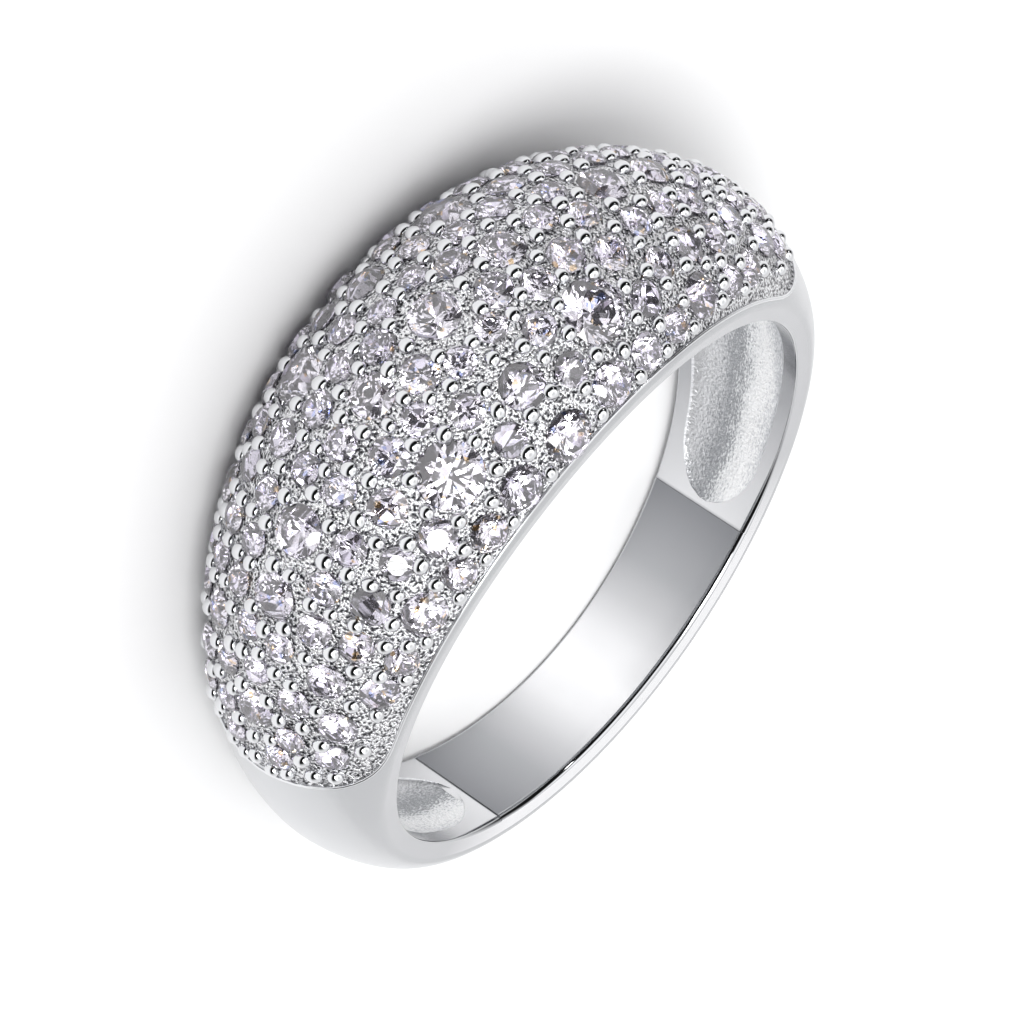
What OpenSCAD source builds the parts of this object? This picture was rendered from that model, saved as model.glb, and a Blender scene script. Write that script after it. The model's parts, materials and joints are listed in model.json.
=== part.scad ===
// Pavé dome ring, lying on its side as it rests by itself.
// The ring's own frame, used by every shape below, has X across the ring, Y along the finger and
// Z from the middle of the finger hole up through the crown of the dome. lay_down() turns that frame
// onto the surface: there +Z is up, the dome faces -Y and the bottom of the ring's box is at the origin.

/* [Finger hole] */
// Inside diameter
finger_d = 17.3; // [15:0.1:21]
// Bevel round both edges of the hole
edge_bevel = 0.06; // [0.04:0.01:0.2]
// How far the hole's wall stands back round the hollow, from a line across it past each end
wall_step = 0.03; // [0.02:0.01:0.05]
// Angle from the end of the hollow to that line
line_past = 1.5; // [1:0.5:6]

/* [Outline] */
// Metal above the finger at the crown of the dome
crown_t = 3.85; // [3.4:0.05:4.6]
// Metal beside the finger
side_t = 1.97; // [1.7:0.01:2.4]
// Metal under the finger
shank_t = 1.5; // [1.2:0.05:2]
// Width of the ring at the crown
crown_w = 8.4; // [7.6:0.1:9.4]
// Width of the ring beside the finger
side_w = 5.1; // [4.6:0.1:5.8]
// Width of the ring under the finger
shank_w = 3.06; // [2.6:0.02:3.6]
// Height of the plain side wall at the crown
crown_rim = 0.5; // [0.35:0.05:0.8]
// Height of the plain side wall under the finger
shank_rim = 0.8; // [0.5:0.05:1]
// Roundness of the section: 2 is an ellipse, less is more pointed
fullness = 1.75; // [1.6:0.05:2]

/* [Hollow under the dome] */
// Metal left between the hollow and the outside
hollow_wall = 1.3; // [1.2:0.05:1.6]
// Plain rail on each side of the hollow, under the crown
crown_rail = 1.3; // [1.2:0.05:1.8]
// Plain rail on each side of the hollow, beside the finger
side_rail = 0.5; // [0.4:0.05:0.8]
// Angle from the crown to the rounded end of the hollow
hollow_end = 139; // [120:1:145]

/* [Stones] */
// Diameter of the four principal stones
principal_d = 1.85; // [1.6:0.05:1.9]
// Diameter of the large stones
large_d = 1.45; // [1.2:0.05:1.5]
// Diameter of the medium stones
medium_d = 1.3; // [1.1:0.05:1.35]
// Diameter of the small stones
small_d = 1.1; // [0.9:0.05:1.15]
// Diameter of the fine stones
fine_d = 0.98; // [0.8:0.02:1]
// Diameter of the finest stones, towards the ends of the field
finest_d = 0.88; // [0.7:0.02:0.9]
// How far each stone's table stands above the metal
table_rise = 0.13; // [0.05:0.01:0.18]
// Gap between a stone and its seat
seat_gap = 0.03; // [0.02:0.01:0.05]

/* [Hidden] */
// Cut of a stone, as shares of its diameter
table_share = 0.57;
crown_share = 0.15;
girdle_share = 0.03;
pavilion_share = 0.43;
culet_facets = 0.25;

// One quarter of the stone field, which is the same on all four, in rows of three: the angle round the
// finger from the crown, the place across as a share of the way from the ridge to the edge, and the
// diameter. The angles are those of a ridge at field_r, and a stone keeps its distance in millimetres.
field_r = 12.5;
MAIN = [
    [0, 0, large_d], [12.4, 0, medium_d], [31.4, 0, large_d], [41, 0, medium_d], [59.5, 0, medium_d],
    [0, 0.52, medium_d], [0, 0.85, large_d], [10.7, 0.83, medium_d], [15, 0.51, principal_d],
    [34.1, 0.77, medium_d]
];
SMALL = [
    [19.3, 0, fine_d], [52.7, 0, finest_d],
    [2.9, 0.24, finest_d], [7, 0.13, small_d], [7.2, 0.4, fine_d], [6.6, 0.63, fine_d],
    [11.5, 0.25, fine_d], [17.4, 0.23, small_d], [18.8, 0.83, small_d],
    [22.9, 0.35, small_d], [23.1, 0.62, small_d], [24.2, 0.11, fine_d], [26.3, 0.82, fine_d],
    [28.7, 0.52, fine_d], [29.9, 0.28, fine_d],
    [36.3, 0.25, fine_d], [35.8, 0.5, small_d],
    [42.3, 0.52, fine_d], [42.5, 0.28, fine_d], [42.7, 0.78, fine_d],
    [47.2, 0.12, finest_d], [49, 0.74, small_d], [49.4, 0.43, small_d],
    [55, 0.27, fine_d], [57.2, 0.57, small_d], [62.3, 0.28, finest_d], [63.5, 0.57, fine_d],
    [67, 0.2, finest_d]
];

$fn = 96;
finger_r = finger_d / 2;
// Steps of the faceted skin, in degrees round the finger and over the section
turn_step = 5;
section_step = 15;
// Step over the arch of the hollow, and the angle over which its ends round off
hollow_step = 30;
hollow_end_turn = 12;
// How far a cut reaches past the face it opens
bite = 0.3;
seat_top = 0.5;

// Bends a value given at the crown, beside and under the finger into a smooth curve
function bend(crown, side, under, along) =
    side + (crown - under) / 2 * along + ((crown + under) / 2 - side) * along * along;

function metal(a) = bend(crown_t, side_t, shank_t, cos(a));
function rim(a) = (crown_rim + shank_rim) / 2 + (crown_rim - shank_rim) / 2 * cos(a);
function half_width(z) = bend(crown_w, side_w, shank_w, z / finger_r) / 2;
function round_off(s) = sign(s) * pow(abs(s), 2 / fullness);

// A point of the ring's section in polar form: radius from the finger's axis, then the place along it
function around(a, r, y) = [r * sin(a), y, r * cos(a)];

// The outer skin at angle a round the finger, with t from -90 at one edge over 0 at the ridge to 90
function skin(a, t) =
    let (low = finger_r + rim(a), w = half_width(low * cos(a)))
    around(a, low + (metal(a) - rim(a)) * round_off(cos(t)), w * round_off(sin(t)));

// The hollow's share of its full size at angle a, rounded off to nothing at its two ends
function hollow_share(a) = sqrt(max(0, 1 - pow(max(0, a - hollow_end + hollow_end_turn) / hollow_end_turn, 2)));

// The arch of the hollow at angle a, from the -Y rail to the +Y rail. Past the hollow's ends it lies
// flat, inside the metal that the finger hole takes away.
function arch(a) =
    let (
        up = max(0, cos(a)),
        wide = half_width(finger_r * cos(a)) - side_rail - (crown_rail - side_rail) * up * up,
        share = hollow_share(min(a, 360 - a)),
        deep = (metal(a) - hollow_wall) * share + bite / 2 * sign(share),
        half = wide * max(share, 0.3)
    )
    concat(
        [around(a, finger_r - bite, -half)],
        [for (t = [-90:hollow_step:90]) around(a, finger_r - bite / 2 + deep * cos(t), half * sin(t))],
        [around(a, finger_r - bite, half)]
    );

// The section's whole outline: inside the finger hole, side wall, skin, side wall, and back over the arch
function section(a) =
    let (inner = finger_r - bite, edge = finger_r + edge_bevel, w = half_width(edge * cos(a)), under = arch(a))
    concat(
        [around(a, inner, -w + edge_bevel + bite), around(a, edge, -w)],
        [for (t = [-90:section_step:90]) skin(a, t)],
        [around(a, edge, w), around(a, inner, w - edge_bevel - bite)],
        [for (i = [len(under) - 1:-1:0]) under[i]]
    );

// Joins equal rings of points, in order round the finger, into a closed tube
module loft(rings) {
    n = len(rings[0]);
    m = len(rings);
    sides = [for (i = [0:m - 1], j = [0:n - 1])
        let (a = i * n, b = (i + 1) % m * n, k = (j + 1) % n)
        each [[a + j, b + k, b + j], [a + j, a + k, b + k]]];
    polyhedron([for (r = rings) each r], sides);
}

// The way over the skin at angle a: places from the ridge to the edge, from 0 to 1, each with its t
function girth(a, t = 0, gone = 0) =
    t >= 90 ? [[gone, 90]]
        : concat([[gone, t]], girth(a, t + 5, gone + norm(skin(a, t + 5) - skin(a, t))));
function way(a) = let (g = girth(a), whole = g[len(g) - 1][0]) [for (p = g) [p[0] / whole, p[1]]];

function unit(v) = v / norm(v);

// Frame of a stone at angle a: origin on the skin, X round the ring and Z straight out of the skin
function seat_frame(a, t) =
    let (
        p = skin(a, t),
        along = unit(skin(a + 0.5, t) - skin(a - 0.5, t)),
        out = unit(cross(along, skin(a, t + 0.5) - skin(a, t - 0.5))),
        side = cross(out, along)
    )
    [[along.x, side.x, out.x, p.x], [along.y, side.y, out.y, p.y], [along.z, side.z, out.z, p.z],
        [0, 0, 0, 1]];

// The rows' stones, each with its frame and diameter, mirrored to both ends and both sides
function stones(rows) = [for (row = rows)
    let (a = row[0] * field_r / (finger_r + crown_t), t = lookup(row[1], way(a)))
    for (end = a > 0 ? [-1, 1] : [1], side = t > 0 ? [-1, 1] : [1])
        [seat_frame(end * a, side * t), row[2]]];

main_stones = stones(MAIN);
small_stones = stones(SMALL);

// Heights in a stone's frame: the top and the bottom of its girdle
function girdle_top(d) = table_rise - crown_share * d;
function girdle_foot(d) = girdle_top(d) - girdle_share * d;

function ring(r, z, n, start = 0) =
    [for (i = [0:n - 1]) let (b = start + 360 * i / n) [r * cos(b), r * sin(b), z]];

// A point below, rings of points from the bottom up, and a flat face on top
module cut_solid(tip, rings) {
    n = len(rings[0]);
    m = len(rings);
    foot = [for (j = [0:n - 1]) [0, 1 + j, 1 + (j + 1) % n]];
    sides = [for (i = [0:1:m - 2], j = [0:n - 1])
        let (a = 1 + i * n, b = a + n, k = (j + 1) % n)
        each [[a + j, b + k, a + k], [a + j, b + j, b + k]]];
    lid = [for (j = [n - 1:-1:0]) 1 + (m - 1) * n + j];
    polyhedron(concat([[0, 0, tip]], [for (r = rings) each r]), concat(foot, sides, [lid]));
}

// The small stones' cut: a table, eight facets to the girdle and eight to the point below
module single_cut(d) {
    low = girdle_foot(d);
    cut_solid(low - pavilion_share * d, [
        ring(d / 2, low, 8),
        ring(d / 2, girdle_top(d), 8),
        ring(table_share * d / 2, table_rise, 8)
    ]);
}

// The main stones' cut: table, stars, kites and pairs of girdle facets, over mains and lower pairs
module full_cut(d) {
    r = d / 2;
    half = 22.5;
    table = table_share * r;
    star = (table * cos(half) + r) / 2;
    star_z = girdle_top(d) + crown_share * d * (r - star * cos(half)) / (r - table);
    low = girdle_foot(d);
    main = culet_facets * r;
    main_z = low - pavilion_share * d * (r - main * cos(half)) / r;
    points = concat(
        [[0, 0, low - pavilion_share * d]],
        ring(main, main_z, 8, half),
        ring(r, low, 16),
        ring(r, girdle_top(d), 16),
        ring(star, star_z, 8, half),
        ring(table, table_rise, 8)
    );
    p = [for (i = [0:8]) 1 + i % 8];
    g = [for (i = [0:16]) 9 + i % 16];
    c = [for (i = [0:8]) 41 + i % 8];
    b = [for (i = [0:8]) 49 + i % 8];
    polyhedron(points, concat(
        [for (i = [0:7]) each [
            [0, p[(i + 7) % 8], g[2 * i], p[i]],
            [p[i], g[2 * i], g[2 * i + 1]],
            [p[i], g[2 * i + 1], g[2 * i + 2]],
            [c[i], g[2 * i + 1] + 16, g[2 * i] + 16],
            [c[i], g[2 * i + 2] + 16, g[2 * i + 1] + 16],
            [b[i], c[i], g[2 * i] + 16, c[(i + 7) % 8]],
            [b[i], b[i + 1], c[i]]
        ]],
        [for (k = [0:15]) [g[k], g[k] + 16, g[k + 1] + 16, g[k + 1]]],
        [[for (i = [7:-1:0]) b[i]]]
    ));
}

// The room cut for one stone: a point below the girdle and straight walls above. A seat with other
// sides than its stone's girdle goes round the whole circle.
module seat(d, sides) {
    r = (d / 2 + seat_gap) / (sides == 8 ? 1 : cos(180 / sides));
    cut_solid(girdle_foot(d) - pavilion_share * d - 2 * seat_gap,
        [ring(r, girdle_foot(d), sides), ring(r, seat_top, sides)]);
}

// The finger hole: a true cylinder, and its wall let back between the two lines, over the crown
module finger_hole() {
    line = hollow_end + line_past;
    rotate([90, 0, 0]) {
        cylinder(r = finger_r, h = 2 * crown_w, center = true);
        rotate(90 - line) rotate_extrude(angle = 2 * line)
            translate([finger_r / 2, -crown_w]) square([finger_r / 2 + wall_step, 2 * crown_w]);
    }
}

module ring_metal() {
    difference() {
        loft([for (a = [0:turn_step:359]) section(a)]);
        finger_hole();
        for (s = main_stones) multmatrix(s[0]) seat(s[1], 12);
        for (s = small_stones) multmatrix(s[0]) seat(s[1], 8);
    }
}

// Lying down: the crown's and the shank's side walls touch the surface, which tilts the ring
crown_foot = skin(0, 90);
shank_foot = skin(180, 90);
tilt = atan((crown_foot.y - shank_foot.y) / (crown_foot.z - shank_foot.z));
lift = crown_foot.y * cos(tilt) - crown_foot.z * sin(tilt);
function back(p) = -p.z * cos(tilt) - p.y * sin(tilt);
table_corners = [for (s = main_stones, q = ring(table_share * s[1] / 2, table_rise, 8))
    s[0] * [q.x, q.y, q.z, 1]];
nearest = min([for (p = table_corners) back(p)]);
farthest = max([for (t = [-90:section_step:90]) back(skin(180, t))]);

module lay_down() {
    translate([0, -(nearest + farthest) / 2, lift])
        rotate([-tilt, 0, 0]) rotate([0, 0, 180]) rotate([-90, 0, 0])
            children();
}

module ring_body() {
    color([0.9, 0.9, 0.9]) lay_down() ring_metal();
}

module small_stone_field() {
    color([0.86, 0.88, 0.95]) lay_down()
        for (s = small_stones) multmatrix(s[0]) single_cut(s[1]);
}

module main_stone(i) {
    color([0.86, 0.88, 0.95]) lay_down()
        multmatrix(main_stones[i][0]) full_cut(main_stones[i][1]);
}

main_names = [for (i = [1:len(main_stones)]) str("main_stone_", i < 10 ? "0" : "", i)];

ring_body();
small_stone_field();  // small_stones
for (i = [0:len(main_names) - 1])
    main_stone(i);
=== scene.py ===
import json
import math
import random

import bmesh
import bpy
import numpy as np
from mathutils import Matrix, Vector, noise


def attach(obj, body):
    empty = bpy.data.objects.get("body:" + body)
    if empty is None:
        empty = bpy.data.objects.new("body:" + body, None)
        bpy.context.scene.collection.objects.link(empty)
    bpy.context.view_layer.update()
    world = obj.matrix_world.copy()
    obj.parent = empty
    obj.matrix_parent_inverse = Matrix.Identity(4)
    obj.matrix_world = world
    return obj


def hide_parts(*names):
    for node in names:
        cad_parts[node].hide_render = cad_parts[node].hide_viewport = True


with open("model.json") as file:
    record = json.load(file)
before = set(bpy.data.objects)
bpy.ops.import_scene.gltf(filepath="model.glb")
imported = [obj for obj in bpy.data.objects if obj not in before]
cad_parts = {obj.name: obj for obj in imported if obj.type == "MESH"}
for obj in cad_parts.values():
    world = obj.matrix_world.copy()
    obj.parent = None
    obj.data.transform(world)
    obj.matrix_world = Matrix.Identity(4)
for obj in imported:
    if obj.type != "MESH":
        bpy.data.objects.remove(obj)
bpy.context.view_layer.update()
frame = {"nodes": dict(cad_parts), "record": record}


# The photographer's camera: a long lens about 15 cm from the ring, above the surface it lies on and
# rolled over, so that the dome is at the top of the picture and the shank at its foot.
camera_eye = Vector((0.037008, -0.117194, 0.089044))
camera_aim = Vector((-0.000148, 0.000623, 0.002213))
camera_roll = math.radians(120.66)
camera_data = bpy.data.cameras.new("camera")
camera_data.sensor_width = 36.0
camera_data.lens = 190.65
camera_data.clip_start = 0.005
camera = bpy.data.objects.new("camera", camera_data)
level_view = (camera_aim - camera_eye).to_track_quat("-Z", "Y").to_matrix()
rolled_view = level_view @ Matrix.Rotation(camera_roll, 3, "Z")
camera.matrix_world = Matrix.Translation(camera_eye) @ rolled_view.to_4x4()
bpy.context.collection.objects.link(camera)
bpy.context.scene.camera = camera
bpy.context.scene.view_settings.view_transform = "Standard"


# The surface the ring lies on: one wide sheet of matt white card, a hair below the ring. It fills the
# picture, so that no edge of it shows.
floor_half = 0.9
floor_gap = 0.00002


def node_material(name):
    """A new material, its node tree and its Principled shader."""
    material = bpy.data.materials.new(name)
    material.use_nodes = True
    shader = material.node_tree.nodes["Principled BSDF"]
    return material, material.node_tree, shader


def add_object(name, mesh):
    piece = bpy.data.objects.new(name, mesh)
    bpy.context.collection.objects.link(piece)
    return piece


floor_mesh = bpy.data.meshes.new("floor")
floor_mesh.from_pydata([(-floor_half, -floor_half, 0), (floor_half, -floor_half, 0),
                        (floor_half, floor_half, 0), (-floor_half, floor_half, 0)], [], [(0, 1, 2, 3)])
floor = add_object("floor", floor_mesh)
floor.location.z = -floor_gap
floor_white, _, floor_shader = node_material("matt_white_sheet")
floor_shader.inputs["Base Color"].default_value = (0.95, 0.95, 0.95, 1)
floor_shader.inputs["Roughness"].default_value = 0.85
floor_shader.inputs["Specular IOR Level"].default_value = 0.2
floor_mesh.materials.append(floor_white)


# The studio: a white tent, plain behind the ring. In front a wide black card hangs across it, with the
# brightest light above, and gives the beads and lips their dark line. One soft box hangs overhead, and
# two small hard lamps strike sparks from the stones.
tent_white = (0.95, 0.95, 0.96, 1)

# How far to the back the front's bands end and the plain back starts, and how bright the front is at
# each height above the sheet, as a sine
front_ends, back_starts = 0.1, 0.6
tent_front = [(0, 0.85), (0.13, 0.85), (0.18, 0.01), (0.67, 0.01), (0.7, 1.6), (0.9, 1.5), (1, 0.9)]
tent_tint = (0.99, 0.99, 1)


def ramp(tree, value, stops_and_colours, blend="LINEAR"):
    """A colour for each value, blended between the stops or held from one stop to the next."""
    node = tree.nodes.new("ShaderNodeValToRGB")
    node.color_ramp.interpolation = blend
    while len(node.color_ramp.elements) < len(stops_and_colours):
        node.color_ramp.elements.new(0.5)
    for element, (stop, colour) in zip(node.color_ramp.elements, stops_and_colours):
        element.position = stop
        element.color = colour + (1,)
    tree.links.new(value, node.inputs["Fac"])
    return node.outputs["Color"]


world = bpy.data.worlds.new("studio")
bpy.context.scene.world = world
world.use_nodes = True
tent = world.node_tree
tent_where = tent.nodes.new("ShaderNodeTexCoord")
tent_parts = tent.nodes.new("ShaderNodeSeparateXYZ")
tent_back = tent.nodes.new("ShaderNodeMapRange")
tent_back.inputs["From Min"].default_value = front_ends
tent_back.inputs["From Max"].default_value = back_starts
tent_whole = tent.nodes.new("ShaderNodeMix")
tent_whole.data_type = "RGBA"
tent_whole.inputs["B"].default_value = tent_white
tent.links.new(tent_where.outputs["Generated"], tent_parts.inputs["Vector"])
tent.links.new(tent_parts.outputs["Y"], tent_back.inputs["Value"])
tent.links.new(tent_back.outputs["Result"], tent_whole.inputs["Factor"])
tent.links.new(ramp(tent, tent_parts.outputs["Z"],
                    [(height, tuple(grey * part for part in tent_tint)) for height, grey in tent_front]),
               tent_whole.inputs["A"])
tent.links.new(tent_whole.outputs["Result"], tent.nodes["Background"].inputs["Color"])
tent.nodes["Background"].inputs["Strength"].default_value = 1.0


def soft_box(name, place, size, power):
    """A soft box at place, in metres, that faces the ring."""
    light = bpy.data.lights.new(name, "AREA")
    light.shape = "RECTANGLE"
    light.size, light.size_y = size
    light.energy = power
    box = bpy.data.objects.new(name, light)
    bpy.context.collection.objects.link(box)
    box.location = place
    box.rotation_euler = (-Vector(place)).to_track_quat("-Z", "Y").to_euler()


soft_box("side_box", (0.2, -0.18, 0.36), (0.22, 0.22), 0.9)
soft_box("left_spark", (-0.3, -0.2, 0.2), (0.03, 0.03), 0.03)
soft_box("right_spark", (0.25, -0.2, 0.3), (0.03, 0.03), 0.03)


# The stones, set in the dome in an even pattern: colourless, each cut as a full brilliant with a table,
# eight stars, eight kites and pairs of facets at the girdle, over a pointed pavilion. Each sits where
# its solid sits in the frame, turned by chance about its own axis as a setter leaves it.
table_share = 0.57
crown_share = 0.15
girdle_share = 0.03
pavilion_share = 0.43
main_share = 0.25
same_point = 1e-6
# The stones' fire, their flashes of dispersed light, is painted into their colour as a few patches tinted
# pink, orange and blue.
fire_scale = 7000
painted_fire_colours = [(0, (0.95, 0.915, 1.0)), (0.93, (0.95, 0.86, 0.93)), (0.965, (1.0, 0.6, 0.25)),
                (0.985, (0.4, 0.5, 1.0))]


def stone_places(node):
    """Centre of the table, outward axis, a girdle direction and the radius of each stone in a node."""
    mesh = bmesh.new()
    mesh.from_mesh(frame["nodes"][node].data)
    bmesh.ops.remove_doubles(mesh, verts=mesh.verts, dist=same_point)
    mesh.verts.index_update()
    left = set(mesh.verts)
    places = []
    while left:
        island, edge = set(), [next(iter(left))]
        while edge:
            vertex = edge.pop()
            if vertex not in island:
                island.add(vertex)
                edge += [e.other_vert(vertex) for e in vertex.link_edges]
        left -= island
        points = np.array([tuple(v.co) for v in sorted(island, key=lambda v: v.index)])
        middle = points.mean(0)
        axis = np.linalg.svd(points - middle)[2][2]
        heights = (points - middle) @ axis
        if abs(heights.max()) > abs(heights.min()):
            axis, heights = -axis, -heights
        out = points - middle - np.outer(heights, axis)
        reach = np.linalg.norm(out, axis=1)
        far = out[reach.argmax()]
        places.append((middle + axis * heights.max(), axis, far / np.linalg.norm(far), reach.max()))
    mesh.free()
    return sorted(places, key=lambda place: tuple(np.round(place[0], 6)))


def circle(count, radius, height, start=0.0):
    """Points evenly round a circle at a height."""
    steps = (start + math.tau * i / count for i in range(count))
    return [(radius * math.cos(b), radius * math.sin(b), height) for b in steps]


def brilliant(radius):
    """Points and faces of a full brilliant with its table at height 0, facing +Z."""
    width = 2 * radius
    table = table_share * radius
    half = math.pi / 8
    top = -crown_share * width
    low = top - girdle_share * width
    star = (table * math.cos(half) + radius) / 2
    star_height = top + crown_share * width * (radius - star * math.cos(half)) / (radius - table)
    main = main_share * radius
    main_height = low - pavilion_share * width * (radius - main * math.cos(half)) / radius
    points = [(0, 0, low - pavilion_share * width)]
    points += circle(8, main, main_height, half)
    points += circle(16, radius, low)
    points += circle(16, radius, top)
    points += circle(8, star, star_height, half)
    points += circle(8, table, 0)
    # Where the points start of the lower mains, the girdle's two edges, the stars and the table
    mains, lower, upper, stars, corners = 1, 9, 25, 41, 49
    faces = [tuple(corners + i for i in range(8))]
    for i in range(8):
        p, p_before = mains + i, mains + (i + 7) % 8
        c, c_before = stars + i, stars + (i + 7) % 8
        b, b_next = corners + i, corners + (i + 1) % 8
        g, g_mid, g_next = (lower + (2 * i + step) % 16 for step in range(3))
        u, u_mid, u_next = (upper + (2 * i + step) % 16 for step in range(3))
        faces += [(0, p, g, p_before), (p, g_mid, g), (p, g_next, g_mid),
                  (c, u, u_mid), (c, u_mid, u_next),
                  (b, c_before, u, c), (b, c, b_next),
                  (g, g_mid, u_mid, u), (g_mid, g_next, u_next, u_mid)]
    return points, faces


def stone_piece(name, nodes):
    """One mesh of brilliants, one for each stone of the nodes, and their places."""
    chance = random.Random(name)
    places = [place for node in nodes for place in stone_places(node)]
    points, faces = [], []
    for centre, axis, side, radius in places:
        turn = Matrix.Rotation(chance.uniform(0, math.tau), 3, Vector(axis))
        x = turn @ Vector(side)
        basis = np.array([x, np.cross(axis, x), axis]).T
        cut, cut_faces = brilliant(radius)
        first = len(points)
        points += [tuple(centre + basis @ np.array(p)) for p in cut]
        faces += [tuple(first + i for i in face) for face in cut_faces]
    mesh = bpy.data.meshes.new(name)
    mesh.from_pydata(points, [], faces)
    piece = add_object(name, mesh)
    mesh.materials.append(stone_glass)
    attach(piece, "root")
    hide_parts(*nodes)
    return places


stone_glass, stone_tree, stone_shader = node_material("colourless_stone")
stone_where = stone_tree.nodes.new("ShaderNodeTexCoord")
fire = stone_tree.nodes.new("ShaderNodeTexVoronoi")
fire.inputs["Scale"].default_value = fire_scale
fire_part = stone_tree.nodes.new("ShaderNodeSeparateColor")
stone_tree.links.new(stone_where.outputs["Object"], fire.inputs["Vector"])
stone_tree.links.new(fire.outputs["Color"], fire_part.inputs["Color"])
# Painted fire: patches of the stone's colour tinted to stand in for its flashes of dispersed light.
stone_tree.links.new(ramp(stone_tree, fire_part.outputs["Red"], painted_fire_colours, "CONSTANT"),
                     stone_shader.inputs["Base Color"])
stone_shader.inputs["Roughness"].default_value = 0.0
stone_shader.inputs["IOR"].default_value = 2.15
stone_shader.inputs["Transmission Weight"].default_value = 0.95
main_nodes = sorted(node for node in frame["nodes"] if node.startswith("main_stone_"))
stones = stone_piece("main_brilliants", main_nodes)
stones += stone_piece("small_brilliants", ["small_stones"])


# The casting: one piece of polished white metal, domed outside and hollowed under the dome, with a
# plain side wall all round, a seat cut for each stone and the grain of the graver between the stones.
# Sizes are in millimetres in the ring's own frame: X across, Y along the finger, Z through the crown.
metre = 1000
finger_r = 8.65
crown_t, side_t, shank_t = 3.85, 1.97, 1.5
crown_w, side_w, shank_w = 8.4, 5.1, 3.06
crown_rim, shank_rim = 0.5, 0.8
fullness = 1.75

# The lip where the side wall turns into the finger hole grows from the dome to the shank, in degrees
# from the crown. The edge that lies down is nearly sharp.
near_lip, lip_growth, lip_growth_start, lip_growth_turn = 0.075, 0.115, 118, 22
far_lip, lip_slope, lip_steps = 0.05, 0.6, 10
outer_edge = 0.12

# The hollow under the dome, the rails beside it and the low step across the wall past its two ends
hollow_wall, hollow_round = 1.3, 0.8
crown_rail, side_rail = 1.3, 0.5
hollow_end, hollow_end_turn, hollow_least = 139.0, 12.0, 0.1
wall_step, line_past = 0.03, 1.5

# The stone field: its ground is cut down a little and grained, and fades out at the edge.
field_end, field_bend, field_share, field_power = 72.5, 55.0, 0.955, 4.5
field_depth, depth_fade = 0.07, 0.1
grain_size, grain_height, grain_fade = 0.16, 0.03, 0.4
slope_least = 0.05

# A seat is wider than its stone by the gap, drilled below its point and cut from above its table.
seat_gap, seat_drill, seat_top, seat_sides = 0.012, 0.05, 0.6, 24

# Points across the skin and the hollow, and degrees between sections from the foot to the dome
skin_steps, arch_steps, way_steps = 108, 16, 240
foot_step, shank_step, shoulder_step, dome_step = 2.5, 1, 2, 0.5
shank_end, dome_end = 116, 74
line_half, line_before, line_after = 0.02, 0.5, 1
sharp_from = 28

bore = next(m for m in frame["record"]["mounts"] if m["name"] == "finger_bore")
ring_centre = np.array(bore["pos_m"])
ring_y = -np.array(bore["axis"]) / np.linalg.norm(bore["axis"])
ring_x = np.array([-1.0, 0.0, 0.0])
ring_basis = np.array([ring_x, ring_y, np.cross(ring_x, ring_y)]).T / metre


def to_world(points):
    """Points of the ring's own frame, brought to their place in metres."""
    return np.asarray(points) @ ring_basis.T + ring_centre


def in_ring(points):
    """Points in metres, told in millimetres of the ring's own frame."""
    return (np.asarray(points) - ring_centre) @ ring_basis * metre ** 2


def bend(crown, side, under, along):
    """A value given at the crown, beside and under the finger, as one smooth curve."""
    return side + (crown - under) / 2 * along + ((crown + under) / 2 - side) * along * along


def metal(a):
    """Thickness at the ridge, from the finger hole out."""
    return bend(crown_t, side_t, shank_t, np.cos(a))


def rim(a):
    """Height of the side wall, from the finger hole out."""
    return (crown_rim + shank_rim) / 2 + (crown_rim - shank_rim) / 2 * np.cos(a)


def half_width(z):
    """Half the ring's width at a height over the finger's axis."""
    return bend(crown_w, side_w, shank_w, z / finger_r) / 2


def round_off(s):
    """A sine or cosine, bent to the fullness of the dome."""
    return np.sign(s) * np.abs(s) ** (2 / fullness)


def around(a, r, y):
    """Points at angle a round the finger, r from its axis and y along it."""
    return np.stack(np.broadcast_arrays(r * np.sin(a), y, r * np.cos(a)), -1)


def skin(a, t):
    """The outside at angle a, with t from -pi/2 at one edge over 0 at the ridge to pi/2."""
    low = finger_r + rim(a)
    return around(a, low + (metal(a) - rim(a)) * round_off(np.cos(t)),
                  half_width(low * np.cos(a)) * round_off(np.sin(t)))


def skin_way(a):
    """Places over the skin at angle a, in millimetres from the ridge, and the t of each."""
    t = np.linspace(-math.pi / 2, math.pi / 2, way_steps + 1)
    points = skin(a, t)
    gone = np.concatenate([[0], np.cumsum(np.linalg.norm(np.diff(points, axis=0), axis=1))])
    return gone - gone[-1] / 2, t


def skin_frame(a, t):
    """A point of the skin, the direction round the ring and the outward normal there."""
    step = 0.004
    along = skin(a + step, t) - skin(a - step, t)
    out = np.cross(along, skin(a, t + step) - skin(a, t - step))
    return skin(a, t), along / np.linalg.norm(along), out / np.linalg.norm(out)


def inside_field(a, share):
    """Distance in millimetres inside the stone field's edge, below 0 outside it."""
    past = np.clip((np.degrees(abs(a)) - field_bend) / (field_end - field_bend), 0, 2)
    value = 1 - (share / field_share) ** 2 - past ** field_power
    down = 2 * np.abs(share) / field_share ** 2 / skin_way(a)[0][-1]
    end_length = math.radians(field_end - field_bend) * (finger_r + crown_t)
    on = field_power * past ** (field_power - 1) / end_length
    return value / np.hypot(down, on).clip(slope_least)


def smooth_step(x):
    """From 0 to 1 and level at both ends."""
    x = np.clip(x, 0, 1)
    return x * x * (3 - 2 * x)


def lip_and_side(a, wall, size):
    """Radius and half width of the points from the hole's wall, over a lip of this size, to near the
    outer edge of the side wall."""
    turned = np.linspace(0, math.pi / 2, lip_steps + 1)
    r = wall + lip_slope * size * (1 - round_off(np.cos(turned)))
    back = size * (1 - round_off(np.sin(turned)))
    outer = finger_r + rim(a) - outer_edge
    return (np.append(r, outer),
            np.append(half_width(r[-1] * math.cos(a)) - back, half_width(outer * math.cos(a))))


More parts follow.
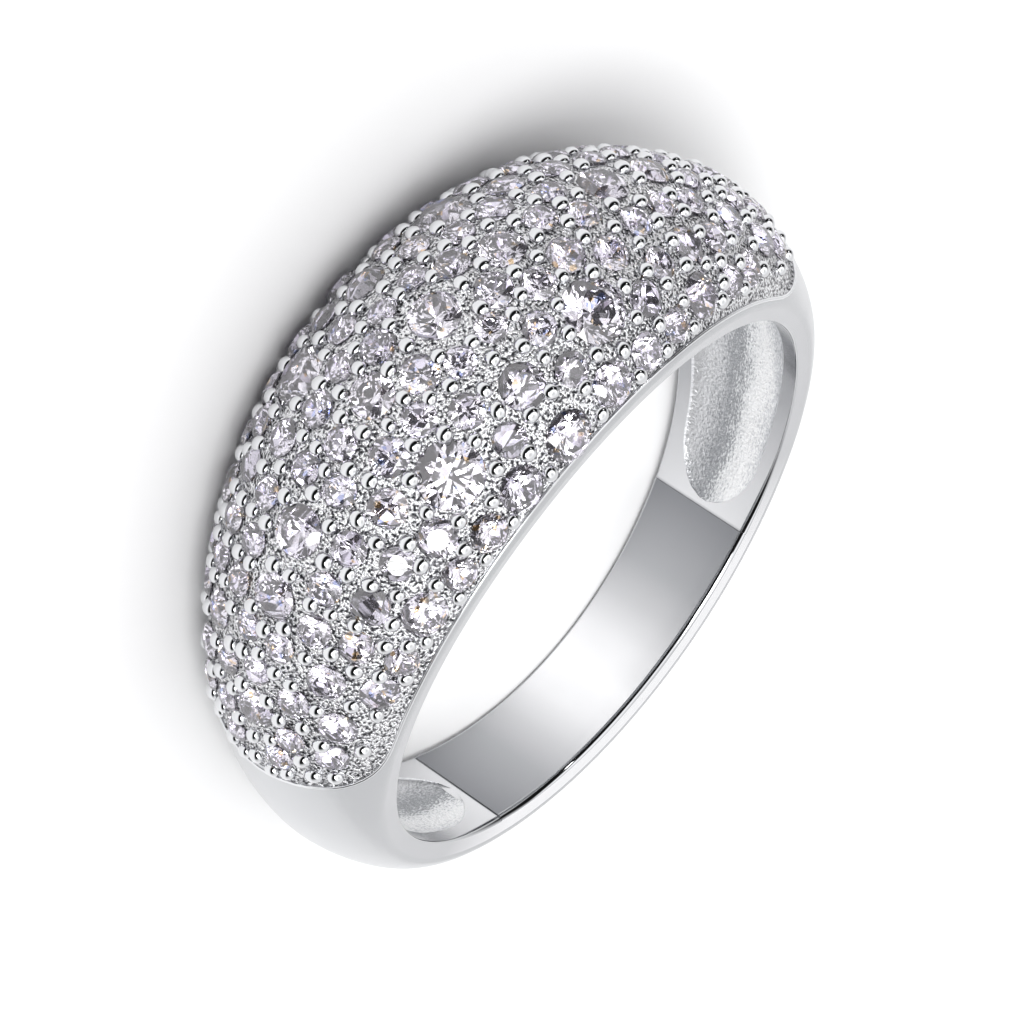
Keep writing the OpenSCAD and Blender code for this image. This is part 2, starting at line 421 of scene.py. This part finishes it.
def section(a):
    """The outline at angle a as a closed row of points, and how far inside the field the skin's lie."""
    way, t_way = skin_way(a)
    share = np.linspace(-1, 1, skin_steps + 1)
    t = np.interp(share * way[-1], way, t_way)
    t[0], t[-1] = -math.pi / 2, math.pi / 2
    inside = inside_field(a, share)
    points = skin(a, t)
    lowered = np.flatnonzero(inside > 0)
    for i in lowered:
        p, _, out = skin_frame(a, t[i])
        grain = noise.noise(Vector(p / grain_size)) * smooth_step(inside[i] / grain_fade)
        points[i] = p - out * (field_depth * smooth_step(inside[i] / depth_fade) - grain_height * grain)
    up = max(0.0, math.cos(a))
    wide = half_width(finger_r * math.cos(a)) - side_rail - (crown_rail - side_rail) * up * up
    past = max(0.0, math.degrees(abs(a)) - hollow_end + hollow_end_turn) / hollow_end_turn
    full = math.sqrt(max(0.0, 1 - past * past))
    wall = finger_r + (wall_step if abs(a) < math.radians(hollow_end + line_past) else 0)
    half = wide * max(full, hollow_least)
    arch_t = np.linspace(math.pi / 2, -math.pi / 2, arch_steps + 1)
    arch = around(a, wall + (metal(a) - hollow_wall) * full * np.abs(np.cos(arch_t)) ** hollow_round,
                  half * np.sin(arch_t))
    grown = smooth_step((math.degrees(abs(a)) - lip_growth_start) / lip_growth_turn)
    near_r, near_y = lip_and_side(a, wall, near_lip + lip_growth * grown)
    far_r, far_y = lip_and_side(a, wall, far_lip)
    thirds = np.array([1 / 3, 2 / 3])
    row = np.concatenate([around(a, wall, -half - (near_y[0] - half) * thirds),
                          around(a, near_r, -near_y),
                          points,
                          around(a, far_r[::-1], far_y[::-1]),
                          around(a, wall, half + (far_y[0] - half) * thirds[::-1]),
                          arch])
    return row, inside


def stops(first, last, step):
    """Even stops from first to just before last."""
    return np.arange(first, last - step / 2, step)


# The finishes. All are one white metal, bright and plain outside, with the faint unevenness that a
# polishing wheel leaves.
white_metal = (0.58, 0.587, 0.6, 1)
haze_scale, mark_scale = 700, 2600
wheel_marks, wheel_depth = 0.3, 0.000004


def soft_noise(tree, scale, detail, stretch=(1, 1, 1), where=None):
    """A noise over the object, or over the places given, stretched along its axes."""
    if where is None:
        where = tree.nodes.new("ShaderNodeTexCoord").outputs["Object"]
    mapping = tree.nodes.new("ShaderNodeMapping")
    mapping.inputs["Scale"].default_value = stretch
    pattern = tree.nodes.new("ShaderNodeTexNoise")
    pattern.inputs["Scale"].default_value = scale
    pattern.inputs["Detail"].default_value = detail
    tree.links.new(where, mapping.inputs["Vector"])
    tree.links.new(mapping.outputs["Vector"], pattern.inputs["Vector"])
    return pattern.outputs["Fac"]


def reckoned(tree, kind, *values):
    """The result of a sum on values, each a number or a socket."""
    node = tree.nodes.new("ShaderNodeMath")
    node.operation = kind
    for socket, value in zip(node.inputs, values):
        if isinstance(value, (int, float)):
            socket.default_value = value
        else:
            tree.links.new(value, socket)
    return node.outputs["Value"]


def mixed_in(tree, value, disturbance, share):
    """The value, shifted by a share of a disturbance that is even round 0.5."""
    return reckoned(tree, "MULTIPLY_ADD", disturbance, share, reckoned(tree, "SUBTRACT", value, share / 2))


def bumped(tree, height, strength, depth):
    """The surface's normal over a height map, depth in metres."""
    node = tree.nodes.new("ShaderNodeBump")
    node.inputs["Strength"].default_value = strength
    node.inputs["Distance"].default_value = depth
    tree.links.new(height, node.inputs["Height"])
    return node.outputs["Normal"]


def node_group(name, inputs, outputs):
    """A shader node group with the sockets named, and its input and output nodes."""
    group = bpy.data.node_groups.new(name, "ShaderNodeTree")
    for label, kind, value in inputs:
        socket = group.interface.new_socket(label, in_out="INPUT", socket_type=kind)
        socket.default_value = value
    for label, kind in outputs:
        group.interface.new_socket(label, in_out="OUTPUT", socket_type=kind)
    return group, group.nodes.new("NodeGroupInput"), group.nodes.new("NodeGroupOutput")


def placed(tree, group):
    """The node of a group, put into a material."""
    node = tree.nodes.new("ShaderNodeGroup")
    node.node_tree = group
    return node


def wheel_polish_group():
    """Faint unevenness of polished metal: roughness between two values, and a low height map."""
    group, given, result = node_group(
        "wheel_polish",
        [("Smoothest", "NodeSocketFloat", 0.05), ("Roughest", "NodeSocketFloat", 0.12)],
        [("Roughness", "NodeSocketFloat"), ("Height", "NodeSocketFloat")])
    haze = soft_noise(group, haze_scale, 3)
    spreading = group.nodes.new("ShaderNodeMapRange")
    group.links.new(haze, spreading.inputs["Value"])
    group.links.new(given.outputs["Smoothest"], spreading.inputs["To Min"])
    group.links.new(given.outputs["Roughest"], spreading.inputs["To Max"])
    group.links.new(spreading.outputs["Result"], result.inputs["Roughness"])
    group.links.new(soft_noise(group, mark_scale, 2), result.inputs["Height"])
    return group


def ring_places_group():
    """Where a point of the ring lies: From Foot is 0 under the finger and 1 at the crown, Across is 0
    and 1 at the crown's two edges, and Rolled Out has the millimetres out from the finger's axis and
    along it, and the turn from the foot in radians."""
    group, _, result = node_group(
        "ring_places", [],
        [("From Foot", "NodeSocketFloat"), ("Across", "NodeSocketFloat"),
         ("Rolled Out", "NodeSocketVector")])
    where = group.nodes.new("ShaderNodeTexCoord")
    mapping = group.nodes.new("ShaderNodeMapping")
    mapping.vector_type = "TEXTURE"
    mapping.inputs["Location"].default_value = ring_centre
    mapping.inputs["Rotation"].default_value = Matrix((ring_basis * metre).tolist()).to_euler()
    mapping.inputs["Scale"].default_value = (1 / metre, 1 / metre, 1 / metre)
    parts = group.nodes.new("ShaderNodeSeparateXYZ")
    rolled = group.nodes.new("ShaderNodeCombineXYZ")
    group.links.new(where.outputs["Object"], mapping.inputs["Vector"])
    group.links.new(mapping.outputs["Vector"], parts.inputs["Vector"])
    x, y, z = parts.outputs
    foot_side = reckoned(group, "MULTIPLY", z, -1)
    turn = reckoned(group, "ARCTAN2", reckoned(group, "ABSOLUTE", x), foot_side)
    z_square = reckoned(group, "MULTIPLY", z, z)
    out = reckoned(group, "SQRT", reckoned(group, "MULTIPLY_ADD", x, x, z_square))
    group.links.new(reckoned(group, "DIVIDE", turn, math.pi), result.inputs["From Foot"])
    group.links.new(reckoned(group, "MULTIPLY_ADD", y, 1 / crown_w, 0.5), result.inputs["Across"])
    group.links.new(out, rolled.inputs["X"])
    group.links.new(y, rolled.inputs["Y"])
    group.links.new(turn, rolled.inputs["Z"])
    group.links.new(rolled.outputs["Vector"], result.inputs["Rolled Out"])
    return group


wheel_polish = wheel_polish_group()
ring_places = ring_places_group()


def metal_material(name, smoothest, roughest, colour=white_metal, marks=0):
    """White metal with a polish between two roughnesses, and the wheel's marks at a strength."""
    material, tree, shader = node_material(name)
    shader.inputs["Metallic"].default_value = 1.0
    shader.inputs["Base Color"].default_value = colour
    polish = placed(tree, wheel_polish)
    polish.inputs["Smoothest"].default_value = smoothest
    polish.inputs["Roughest"].default_value = roughest
    tree.links.new(polish.outputs["Roughness"], shader.inputs["Roughness"])
    if marks:
        tree.links.new(bumped(tree, polish.outputs["Height"], marks, wheel_depth), shader.inputs["Normal"])
    return material, tree, shader


polished_metal = metal_material("polished_white_metal", 0.2, 0.3, marks=wheel_marks)[0]

# Between the stones the metal is cut up by the graver: a random grain with painted glints, bright on the
# cuts, and painted shade, dark down in them.
graver_scale, graver_depth = 12000, 0.00008
graver_glint_and_shade_tones = [(0.38, (0.03, 0.03, 0.035)), (0.455, (0.34, 0.34, 0.355)), (0.54, (0.96, 0.96, 0.975))]
graved_metal, tree, shader = metal_material("graved_metal_painted_glint_and_shade", 0.12, 0.3)
cuts = soft_noise(tree, graver_scale, 3)
tree.links.new(ramp(tree, cuts, graver_glint_and_shade_tones), shader.inputs["Base Color"])
tree.links.new(bumped(tree, cuts, 1.0, graver_depth), shader.inputs["Normal"])

# Inside the hollow the casting keeps its skin: dull, pitted and drawn into streaks round the finger.
# Across it run painted bands of light and shade, bright and dark, which the streaks break up. The tones
# run from the edge that shows, at 0, to the one that lies down, at 1.
pit_scale, pit_depth = 11000, 0.00004
wide_streaks, fine_streaks = (2, 2, 5), (22, 22, 90)
wide_share, fine_share = 0.12, 0.25
hollow_light_and_shade_tones = [(0.1, (0.45, 0.46, 0.48)), (0.24, (0.3, 0.31, 0.33)), (0.33, (0.65, 0.66, 0.68)),
                (0.4, (1.0, 1.0, 1.0)), (0.46, (0.85, 0.86, 0.87)), (0.52, (0.32, 0.33, 0.35)),
                (0.61, (0.75, 0.755, 0.77)), (0.75, (0.92, 0.925, 0.94)), (0.88, (0.5, 0.505, 0.52))]
cast_metal, tree, shader = metal_material("as_cast_metal_painted_light_and_shade", 0.32, 0.5)
places = placed(tree, ring_places).outputs
across = places["Across"]
for stretch, share in ((wide_streaks, wide_share), (fine_streaks, fine_share)):
    across = mixed_in(tree, across, soft_noise(tree, 1.0, 3, stretch, places["Rolled Out"]), share)
tree.links.new(ramp(tree, across, hollow_light_and_shade_tones), shader.inputs["Base Color"])
pits = soft_noise(tree, pit_scale, 3)
tree.links.new(bumped(tree, pits, 1.0, pit_depth), shader.inputs["Normal"])

# The wall of the finger hole is polished smooth and painted with light and shade: bright under the finger,
# greyer towards the two lines, and lighter again just past them, darkening towards the crown.
wall_light_and_shade_tones = [(0, (0.98, 0.98, 0.985)), (0.045, (0.85, 0.85, 0.86)), (0.09, (0.59, 0.593, 0.605)),
              (0.133, (0.41, 0.415, 0.43)), (0.178, (0.325, 0.33, 0.345)), (0.219, (0.243, 0.248, 0.263)),
              (0.22, (0.72, 0.723, 0.735)), (0.4, (0.36, 0.365, 0.38))]
wall_metal, tree, shader = metal_material("wall_metal_painted_light_and_shade", 0.16, 0.24, marks=wheel_marks)
tree.links.new(ramp(tree, placed(tree, ring_places).outputs["From Foot"], wall_light_and_shade_tones),
               shader.inputs["Base Color"])

# The seats under the stones are cut clean and bright, so that the stones throw the light back.
bright_metal = metal_material("bright_cut_metal", 0.05, 0.1, (0.97, 0.96, 1.0, 1))[0]

# The lips at the two edges of the finger hole are polished to a mirror.
lip_metal = metal_material("mirror_lip_metal", 0.04, 0.07)[0]

# The side walls of the slim shank carry a painted highlight, so they are brighter than those of the dome.
side_highlight_tones = [(0, (0.97, 0.97, 0.98)), (0.2, (0.95, 0.95, 0.96)), (0.32, (0.6, 0.605, 0.62))]
side_metal, tree, shader = metal_material("side_metal_painted_highlight", 0.2, 0.3, marks=wheel_marks)
tree.links.new(ramp(tree, placed(tree, ring_places).outputs["From Foot"], side_highlight_tones),
               shader.inputs["Base Color"])

# Finish numbers of the casting's faces, in the order of its materials
polished, graved, cast, bright, burnished_light_and_shade, mirror, painted_highlight_side = range(7)

# The sections lie closest over the stones, and a pair of them makes each line across the wall.
line = hollow_end + line_past
turns = np.radians(np.concatenate([
    stops(-180, -line - line_after, foot_step), [-line - line_half, -line + line_half],
    stops(-line + line_before, -shank_end, shank_step), stops(-shank_end, -dome_end, shoulder_step),
    stops(-dome_end, dome_end, dome_step), stops(dome_end, shank_end, shoulder_step),
    stops(shank_end, line - line_before, shank_step),
    [line - line_before, line - line_half, line + line_half],
    stops(line + line_after, 180, foot_step)]))
rows = [section(a) for a in turns]

# Where the strips of the casting begin in a row of points, which starts on the finger hole's wall: near
# lip, near side wall, skin, far side wall, the wall again past the far lip, and hollow
row_length = len(rows[0][0])
near_lip_start = 2
near_side = near_lip_start + lip_steps
skin_start = near_side + 2
far_side = skin_start + skin_steps + 1
far_lip_end = far_side + 1 + lip_steps
arch_start = row_length - arch_steps - 1


def finish(i, j):
    """Finish of the face from point j of section i on."""
    on_skin = skin_start <= j < skin_start + skin_steps
    if on_skin and min(rows[i][1][j - skin_start:j - skin_start + 2]) > 0:
        return graved
    if arch_start <= j < row_length - 1 and abs(turns[i]) < math.radians(hollow_end):
        return cast
    if j < near_lip_start or j >= far_lip_end:
        return burnished_light_and_shade
    if j < near_side or j > far_side:
        return mirror
    return painted_highlight_side if j in (near_side, far_side) else polished


faces, finishes = [], []
for i in range(len(rows)):
    first, after = i * row_length, (i + 1) % len(rows) * row_length
    for j in range(row_length):
        k = (j + 1) % row_length
        faces.append((first + j, first + k, after + k, after + j))
        finishes.append(finish(i, j))
casting_mesh = bpy.data.meshes.new("ring_casting")
casting_mesh.from_pydata(np.concatenate([row for row, _ in rows]).tolist(), [], faces)
casting_mesh.polygons.foreach_set("material_index", finishes)
for material in (polished_metal, graved_metal, cast_metal, bright_metal, wall_metal, lip_metal,
                 side_metal):
    casting_mesh.materials.append(material)
casting = add_object("ring_casting", casting_mesh)


def seat_cutter(places):
    """One mesh of cone-bottomed seats, in the ring's own frame, one for each stone."""
    points, faces = [], []
    for centre, axis, side, radius in places:
        r = radius * metre + seat_gap
        girdle = -(crown_share + girdle_share) * radius * 2 * metre
        basis = np.array([side, np.cross(axis, side), axis]) @ ring_basis * metre
        local = [(0, 0, girdle - pavilion_share * radius * 2 * metre - seat_drill)]
        local += circle(seat_sides, r, girdle) + circle(seat_sides, r, seat_top)
        first = len(points)
        points += (in_ring(centre) + np.array(local) @ basis).tolist()
        for n in range(seat_sides):
            a, b = first + 1 + n, first + 1 + (n + 1) % seat_sides
            faces += [(first, b, a), (a, b, b + seat_sides, a + seat_sides)]
        faces.append(tuple(first + 1 + seat_sides + n for n in range(seat_sides)))
    mesh = bpy.data.meshes.new("seats")
    mesh.from_pydata(points, [], faces)
    mesh.polygons.foreach_set("material_index", [bright] * len(faces))
    return add_object("seats", mesh)


# The seats are cut in one go, and the casting is then brought to its place in metres.
cutter = seat_cutter(stones)
cut = casting.modifiers.new("seats", "BOOLEAN")
cut.operation = "DIFFERENCE"
cut.solver = "MANIFOLD"
cut.object = cutter
cut.material_mode = "INDEX"
seen = casting.evaluated_get(bpy.context.evaluated_depsgraph_get())
cut_mesh = bpy.data.meshes.new_from_object(seen)
casting.modifiers.clear()
casting.data = cut_mesh
cut_mesh.name = "ring_casting"
bpy.data.meshes.remove(casting_mesh)
bpy.data.objects.remove(cutter)
cut_mesh.transform(Matrix.Translation(ring_centre) @ Matrix(ring_basis.tolist()).to_4x4())
cut_mesh.shade_smooth()
cut_mesh.set_sharp_from_angle(angle=math.radians(sharp_from))
finish_of = {}
for face in cut_mesh.polygons:
    for edge in face.edge_keys:
        finish_of.setdefault(edge, set()).add(face.material_index)
for edge in cut_mesh.edges:
    if len(finish_of[edge.key]) > 1:
        edge.use_edge_sharp = True
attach(casting, "root")
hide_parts("ring_body")


# The beads: grains of the casting's own metal, raised beside each stone with the graver and rounded
# over its edge with a cupped tool. One quarter of them is charted, and mirrored to the other three.
bead_r, bead_height = 0.25, 0.85
bead_sizes, bead_lengths, bead_widths = (0.9, 1.05), (1, 1.08), (0.92, 1)
bead_clear, bead_sink = 0.07, 0.03
bead_moves, stones_near = 6, 2
bead_seed = 11

# Each bead's turn, in degrees round the finger from the crown, and its way from the ridge
bead_chart = [
    (5.1, 0), (8.7, 0), (23, 0), (26.2, 0), (45.9, 0), (49.8, 0), (65, 0), (69.5, 0),
    (0, 1.3), (0, 2), (37, 0.3), (16.6, 0.4), (56.6, 0.45), (70.9, 0.5), (21.3, 0.58), (44.1, 0.58),
    (51.3, 0.58), (63.7, 0.58), (28.6, 0.8), (10.5, 0.8), (14.2, 0.87), (4, 0.87), (59, 0.85),
    (33, 1.05), (70, 1), (39.1, 1.1), (52, 1.1), (21.1, 1.2), (8.7, 1.35), (46.8, 1.35), (26, 1.4),
    (65.5, 1.5), (58.7, 1.55), (6, 1.6), (14.6, 1.7), (39.1, 1.7), (33, 1.75), (68.4, 1.8), (54.6, 1.9),
    (44.5, 2), (18.3, 2.1), (27.5, 2.1), (61.2, 2.1), (11.2, 2.2), (3.8, 2.35), (33, 2.4), (39.2, 2.4),
    (67.8, 2.4), (46, 2.7), (52.1, 2.8), (25.6, 2.85), (20.8, 2.9), (9.6, 2.95), (4.7, 2.95),
    (32.8, 3.15), (60.9, 3.2), (37, 3.3), (40.7, 3.3), (27.5, 3.4), (46, 3.4), (53.1, 3.5), (2.1, 3.7),
    (19.6, 3.75), (10.8, 3.85), (39.9, 3.9), (29.1, 4), (45.5, 4.1), (22.7, 4.25), (14.8, 4.25),
    (6.3, 4.3), (38.3, 4.35), (29.8, 4.8), (22.5, 5), (15.5, 5.15), (6.2, 5.25)
]


def skin_t(a, way_from_ridge):
    """The skin's t at angle a, a way in millimetres from the ridge."""
    way, t = skin_way(a)
    return float(np.interp(way_from_ridge, way, t))


stone_centres = in_ring([place[0] for place in stones])
stone_radii = np.array([place[3] for place in stones]) * metre


def beside_stones(a, s):
    """Angle and way from the ridge of a bead, moved just clear of the stones it would sit on."""
    for _ in range(bead_moves):
        point, along, out = skin_frame(a, skin_t(a, s))
        away = point - stone_centres
        away -= np.outer(away @ out, out)
        reach = np.linalg.norm(away, axis=1)
        near = np.linalg.norm(point - stone_centres, axis=1) < stones_near
        short = np.where(near, stone_radii + bead_clear - reach, -1)
        worst = short.argmax()
        if short[worst] <= 0:
            break
        push = away[worst] / reach[worst] * short[worst]
        a += float(push @ along) / (finger_r + crown_t)
        s += float(push @ np.cross(out, along))
    return a, s


def bead_piece():
    """All the beads as one mesh: flattened balls of uneven size, sunk into the skin."""
    chance = random.Random(bead_seed)
    ball = bmesh.new()
    bmesh.ops.create_icosphere(ball, subdivisions=3, radius=1)
    ball_points = np.array([tuple(v.co) for v in ball.verts])
    ball_faces = [tuple(v.index for v in f.verts) for f in ball.faces]
    ball.free()
    points, faces = [], []
    for turn, way in bead_chart:
        for end in ((1, -1) if turn else (1,)):
            for side in ((1, -1) if way else (1,)):
                a, s = beside_stones(math.radians(end * turn), side * way)
                point, along, out = skin_frame(a, skin_t(a, s))
                spin = chance.uniform(0, math.pi)
                across = np.cross(out, along)
                x = along * math.cos(spin) + across * math.sin(spin)
                basis = np.array([x, np.cross(out, x), out]).T
                size = bead_r * chance.uniform(*bead_sizes)
                shape = [size * chance.uniform(*bead_lengths), size * chance.uniform(*bead_widths),
                         size * bead_height]
                first = len(points)
                points += to_world(point - out * bead_sink + (ball_points * shape) @ basis.T).tolist()
                faces += [tuple(first + i for i in face) for face in ball_faces]
    mesh = bpy.data.meshes.new("beads")
    mesh.from_pydata(points, [], faces)
    mesh.shade_smooth()
    return add_object("beads", mesh)


bead_metal = metal_material("burnished_bead_metal", 0.04, 0.1, (0.74, 0.745, 0.76, 1))[0]
beads = bead_piece()
beads.data.materials.append(bead_metal)
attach(beads, "root")


# The border of the stone field: a fine bright line that the graver leaves all round the stones, where
# the cut-down ground meets the polished shoulders.
border_width, border_height = 0.055, 0.045
border_sides, border_step, end_points = 8, 2.5, 15


def border_places():
    """Angle and share of the way to the edge, once round the field."""
    ends = np.linspace(0, math.pi / 2, end_points)
    past, share = np.sin(ends) ** (2 / field_power), np.cos(ends) * field_share
    end_turns = field_bend + (field_end - field_bend) * past
    straight = np.arange(-field_bend + border_step, field_bend, border_step)
    quarter = list(zip(end_turns, share))
    loop = [(turn, field_share) for turn in straight]
    loop += quarter + [(turn, -s) for turn, s in quarter[-2::-1]]
    loop += [(turn, -field_share) for turn in straight[::-1]]
    loop += [(-turn, -s) for turn, s in quarter] + [(-turn, s) for turn, s in quarter[-2::-1]]
    return loop


def border_piece():
    """The border as one closed cord, half sunk into the skin."""
    path = []
    for turn, share in border_places():
        a = math.radians(turn)
        path.append(skin_frame(a, skin_t(a, share * skin_way(a)[0][-1])))
    points, faces = [], []
    for i, (point, _, out) in enumerate(path):
        ahead = path[(i + 1) % len(path)][0] - path[i - 1][0]
        side = np.cross(out, ahead / np.linalg.norm(ahead))
        this, after = i * border_sides, (i + 1) % len(path) * border_sides
        for n in range(border_sides):
            b, m = math.tau * n / border_sides, (n + 1) % border_sides
            points.append(point + side * border_width * math.cos(b) + out * border_height * math.sin(b))
            faces.append((this + n, this + m, after + m, after + n))
    mesh = bpy.data.meshes.new("field_border")
    mesh.from_pydata(to_world(points).tolist(), [], faces)
    mesh.shade_smooth()
    return add_object("field_border", mesh)


border = border_piece()
border.data.materials.append(bead_metal)
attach(border, "root")
